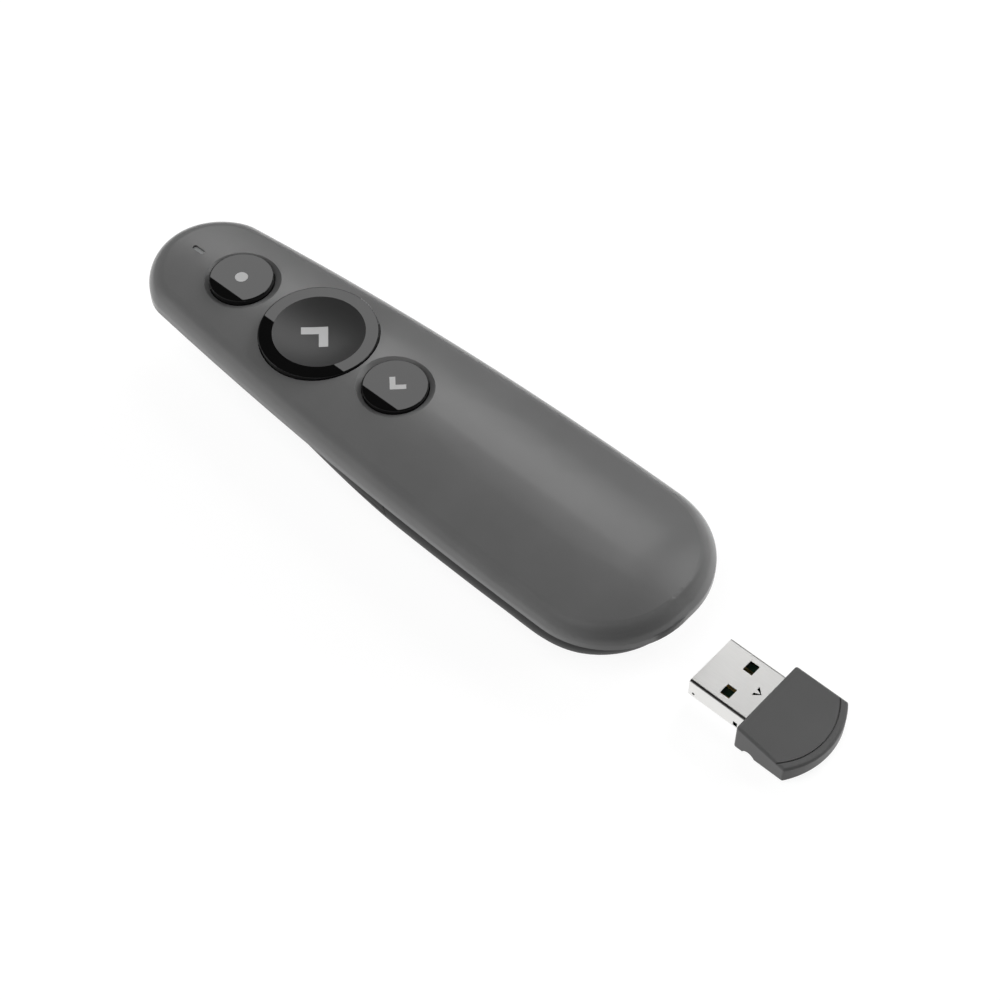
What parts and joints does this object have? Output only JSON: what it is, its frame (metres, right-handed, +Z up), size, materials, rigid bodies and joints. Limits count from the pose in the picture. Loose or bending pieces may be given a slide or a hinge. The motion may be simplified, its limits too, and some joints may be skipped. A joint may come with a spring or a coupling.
{
  "type": "wireless presentation remote",
  "caption": "Hand-held slide remote with arched grey cover, glossy round buttons, laser nose, sliding battery cover and a plug-in radio receiver that stows in its tail.",
  "frame": {"origin": "on the surface the handset lies on, at the middle of the flat of its belly, under the middle of the handset's length", "axes": "+X from the laser nose to the tail and the receiver behind it, +Z up through the buttons, +Y to the side the large arrow points to"},
  "size_m": [0.1628, 0.038, 0.0201],
  "materials": {
    "antenna_ceramic": "ceramic",
    "board_green": "solder mask",
    "button_gloss": "piano black gloss",
    "button_satin": "satin black",
    "cell_jacket": "printed jacket left bare",
    "chip_black": "moulded",
    "contact_gold": "gold plated",
    "contact_steel": "bright spring steel",
    "crystal_can": "plain",
    "dark_hull": "satin black",
    "dock_black": "satin black",
    "frame_black": "plain moulded",
    "icon_grey": "light grey insert",
    "laser_brass": "turned",
    "laser_glass": "clear",
    "laser_window": "tinted clear",
    "light_chip": "clear resin",
    "light_pipe": "frosted clear",
    "plug_steel": "bright plated",
    "receiver_green": "solder mask",
    "receiver_grey": "satin grey",
    "screw_steel": "plain",
    "soft_grey_shell": "fine matt texture",
    "switch_black": "moulded",
    "switch_stem": "moulded",
    "tongue_black": "moulded"
  },
  "bodies": {
    "handset": {"top_cover": "soft_grey_shell", "lower_case": "dark_hull", "inner_frame": "frame_black", "case_screws": "screw_steel", "battery_near": "cell_jacket", "battery_far": "cell_jacket", "nose_contacts": "contact_steel", "tail_contact": "contact_steel", "main_board": "board_green", "controller_chip": "chip_black", "radio_crystal": "crystal_can", "radio_antenna": "antenna_ceramic", "status_light": "light_chip", "status_light_pipe": "light_pipe", "laser_barrel": "laser_brass", "laser_lens": "laser_glass", "laser_diode": "contact_steel", "laser_pins": "contact_steel", "laser_window": "laser_window", "laser_switch": "switch_black", "next_switch": "switch_black", "back_switch": "switch_black"},
    "laser_button": {"laser_button_cap": "button_gloss", "laser_button_icon": "icon_grey", "laser_switch_stem": "switch_stem"},
    "next_button": {"next_button_ring": "button_gloss", "next_button_key": "button_satin", "next_button_icon": "icon_grey", "next_switch_stem": "switch_stem"},
    "back_button": {"back_button_cap": "button_gloss", "back_button_icon": "icon_grey", "back_switch_stem": "switch_stem"},
    "battery_cover": {"battery_cover": "dark_hull", "receiver_dock": "dock_black"},
    "receiver": {"receiver_housing": "receiver_grey", "usb_shell": "plug_steel", "usb_tongue": "tongue_black", "usb_contacts": "contact_gold", "receiver_board": "receiver_green", "receiver_chip": "chip_black"}
  },
  "joints": [
    {"name": "laser_button_press", "type": "slide", "parent": "handset", "child": "laser_button", "axis": [0, 0, -1], "range_m": [0, 0.0005], "stiffness_N_per_m": 4000},
    {"name": "next_button_press", "type": "slide", "parent": "handset", "child": "next_button", "axis": [0, 0, -1], "range_m": [0, 0.0005], "stiffness_N_per_m": 4000},
    {"name": "back_button_press", "type": "slide", "parent": "handset", "child": "back_button", "axis": [0, 0, -1], "range_m": [0, 0.0005], "stiffness_N_per_m": 4000},
    {"name": "battery_cover_slide", "type": "slide", "parent": "handset", "child": "battery_cover", "axis": [1, 0, 0], "range_m": [0, 0.007]},
    {"name": "receiver_stow", "type": "slide", "parent": "battery_cover", "child": "receiver", "axis": [-1, 0, 0], "range_m": [0, 0.0408]}
  ]
}
